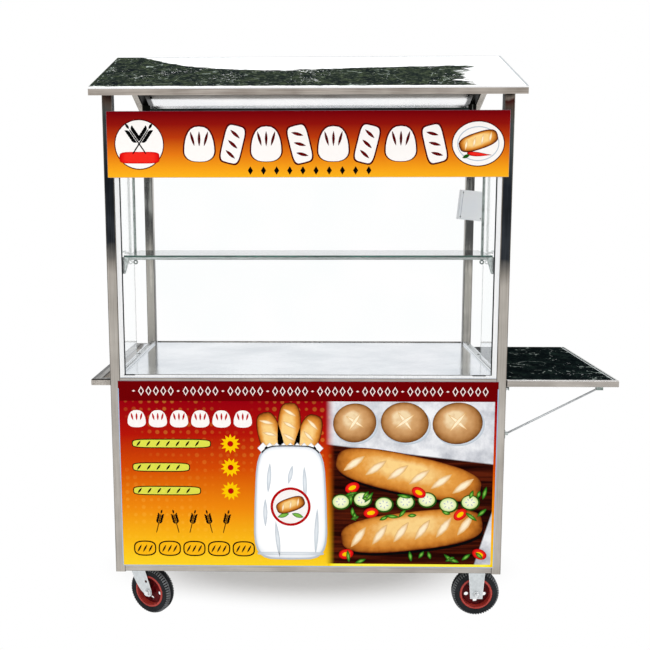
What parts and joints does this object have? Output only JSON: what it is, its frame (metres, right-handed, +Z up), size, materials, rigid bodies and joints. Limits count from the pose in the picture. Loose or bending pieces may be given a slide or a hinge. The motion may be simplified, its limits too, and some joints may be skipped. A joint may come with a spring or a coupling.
{
  "type": "street food cart",
  "caption": "Street food cart: a steel tube body on casters with a glazed display case, open gable roof, rear doors, push handle and folding side table.",
  "frame": {"origin": "on the floor, under the middle of the cart's bounding box with its handle and side table", "axes": "+Z up; the signed front faces -Y; +X to the right of someone who looks at the front, towards the folding table"},
  "size_m": [1.595, 0.744, 1.788],
  "materials": {
    "steel": "satin stainless steel",
    "polished_steel": "polished stainless steel",
    "channel": "satin",
    "glass": "clear, with green edges",
    "sign_print": "printed board, semi-gloss",
    "banner_print": "printed board, semi-gloss",
    "white_plastic": "matt",
    "roof_sheet": "polished, mottled dark",
    "table_sheet": "polished, mottled dark",
    "zinc": "zinc plated",
    "red_rim": "gloss paint",
    "tyre": "matt"
  },
  "bodies": {
    "cart": {"left_side_frame": "steel", "right_side_frame": "steel", "base_frame": "steel", "front_counter_rail": "steel", "rear_counter_rail": "steel", "front_top_rail": "steel", "rear_top_rail": "steel", "floor_plate": "steel", "counter_top": "polished_steel", "left_side_panel": "steel", "right_side_panel": "steel", "front_sign_panel": "sign_print", "banner_board": "banner_print", "left_door_hinge": "zinc", "right_door_hinge": "zinc", "front_glass": "glass", "front_glass_channel": "channel", "left_side_pane": "glass", "right_side_pane": "glass", "left_side_channel": "channel", "right_side_channel": "channel", "shelf_glass": "glass", "shelf_rail": "channel", "left_shelf_bracket": "zinc", "right_shelf_bracket": "zinc", "left_shelf_hanger": "zinc", "right_shelf_hanger": "zinc", "switch_box": "white_plastic", "roof_frame": "steel", "roof_sheet": "roof_sheet", "push_handle": "steel", "table_hinge": "zinc", "front_stay_bracket": "zinc", "rear_stay_bracket": "zinc", "front_left_caster_plate": "zinc", "rear_left_caster_plate": "zinc", "front_right_caster_fork": "zinc", "front_right_caster_axle": "zinc", "rear_right_caster_fork": "zinc", "rear_right_caster_axle": "zinc"},
    "left_rear_door": {"left_door": "steel", "left_door_pull": "polished_steel"},
    "right_rear_door": {"right_door": "steel", "right_door_pull": "polished_steel"},
    "side_table": {"table_frame": "steel", "table_top": "table_sheet"},
    "front_table_stay": {"front_stay": "zinc"},
    "rear_table_stay": {"rear_stay": "zinc"},
    "front_left_swivel": {"front_left_caster_fork": "zinc", "front_left_caster_axle": "zinc"},
    "rear_left_swivel": {"rear_left_caster_fork": "zinc", "rear_left_caster_axle": "zinc"},
    "front_left_wheel": {"front_left_caster_rim": "red_rim", "front_left_caster_tyre": "tyre"},
    "rear_left_wheel": {"rear_left_caster_rim": "red_rim", "rear_left_caster_tyre": "tyre"},
    "front_right_wheel": {"front_right_caster_rim": "red_rim", "front_right_caster_tyre": "tyre"},
    "rear_right_wheel": {"rear_right_caster_rim": "red_rim", "rear_right_caster_tyre": "tyre"}
  },
  "joints": [
    {"name": "left_door_hinge_turn", "type": "hinge", "parent": "cart", "child": "left_rear_door", "pos_m": [-0.7082, 0.3038, 0.4855], "axis": [0, 0, 1], "range_deg": [0, 120]},
    {"name": "right_door_hinge_turn", "type": "hinge", "parent": "cart", "child": "right_rear_door", "pos_m": [0.4292, 0.3038, 0.4855], "axis": [0, 0, -1], "range_deg": [0, 120]},
    {"name": "side_table_fold", "type": "hinge", "parent": "cart", "child": "side_table", "pos_m": [0.465, -0.03, 0.7598], "axis": [0, 1, 0], "range_deg": [0, 90]},
    {"name": "front_stay_fold", "type": "hinge", "parent": "cart", "child": "front_table_stay", "pos_m": [0.4673, -0.29, 0.622], "axis": [0, 1, 0], "range_deg": [0, 117.5]},
    {"name": "rear_stay_fold", "type": "hinge", "parent": "cart", "child": "rear_table_stay", "pos_m": [0.4673, 0.23, 0.622], "axis": [0, 1, 0], "range_deg": [0, 117.5]},
    {"name": "front_left_swivel_turn", "type": "hinge", "parent": "cart", "child": "front_left_swivel", "pos_m": [-0.6795, -0.2, 0.165], "axis": [0, 0, 1], "continuous": true},
    {"name": "rear_left_swivel_turn", "type": "hinge", "parent": "cart", "child": "rear_left_swivel", "pos_m": [-0.6795, 0.2, 0.165], "axis": [0, 0, 1], "continuous": true},
    {"name": "front_left_wheel_roll", "type": "hinge", "parent": "front_left_swivel", "child": "front_left_wheel", "pos_m": [-0.64325, -0.2169, 0.075], "axis": [0.4226, 0.9063, 0], "continuous": true},
    {"name": "rear_left_wheel_roll", "type": "hinge", "parent": "rear_left_swivel", "child": "rear_left_wheel", "pos_m": [-0.64325, 0.1831, 0.075], "axis": [0.4226, 0.9063, 0], "continuous": true},
    {"name": "front_right_wheel_roll", "type": "hinge", "parent": "cart", "child": "front_right_wheel", "pos_m": [0.4005, -0.213, 0.075], "axis": [0, 1, 0], "continuous": true},
    {"name": "rear_right_wheel_roll", "type": "hinge", "parent": "cart", "child": "rear_right_wheel", "pos_m": [0.4005, 0.213, 0.075], "axis": [0, 1, 0], "continuous": true}
  ],
  "couplings": [
    {"joint": "front_stay_fold", "follows": "side_table_fold", "ratio": 1.3055},
    {"joint": "rear_stay_fold", "follows": "side_table_fold", "ratio": 1.3055}
  ]
}
